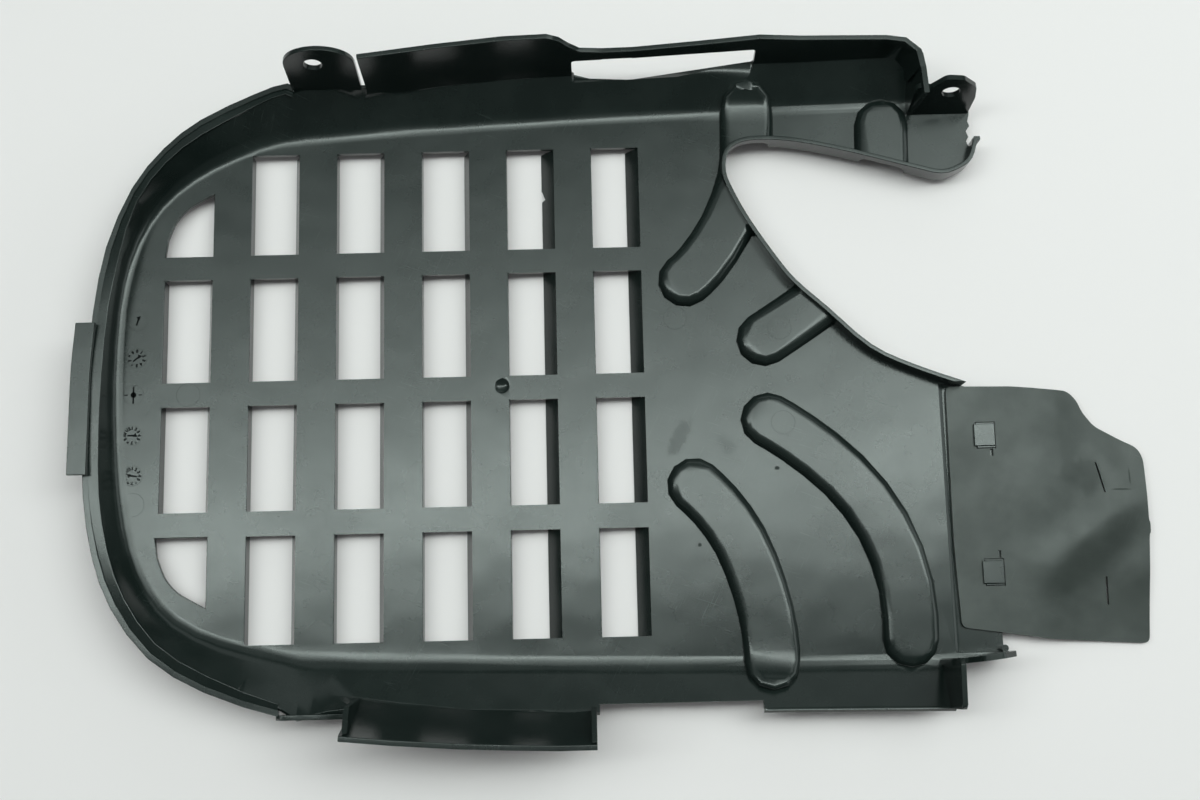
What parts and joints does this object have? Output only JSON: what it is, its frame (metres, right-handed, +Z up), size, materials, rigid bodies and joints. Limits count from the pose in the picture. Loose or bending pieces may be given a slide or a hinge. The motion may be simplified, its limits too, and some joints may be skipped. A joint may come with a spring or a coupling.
{
  "type": "lower fairing",
  "caption": "Scooter under-cover: a shallow slotted tray with raised beads, a rounded front rim, a lipped wheel arch, leaning walls with screw ears, and a loose flexible flap at the rear.",
  "frame": {"origin": "centre of the bounding box, on the table that the louvre fins stand on", "axes": "+X towards the rear edge with the flap, +Y towards the tall-walled side, +Z up out of the tray's hollow side"},
  "size_m": [0.5292, 0.3462, 0.0626],
  "materials": {
    "moulding": "satin black polypropylene, fine grain",
    "flap": "dark grey rubber sheet, rippled"
  },
  "bodies": {
    "root": {"under_cover": "moulding", "rubber_flap": "flap"}
  },
  "joints": []
}
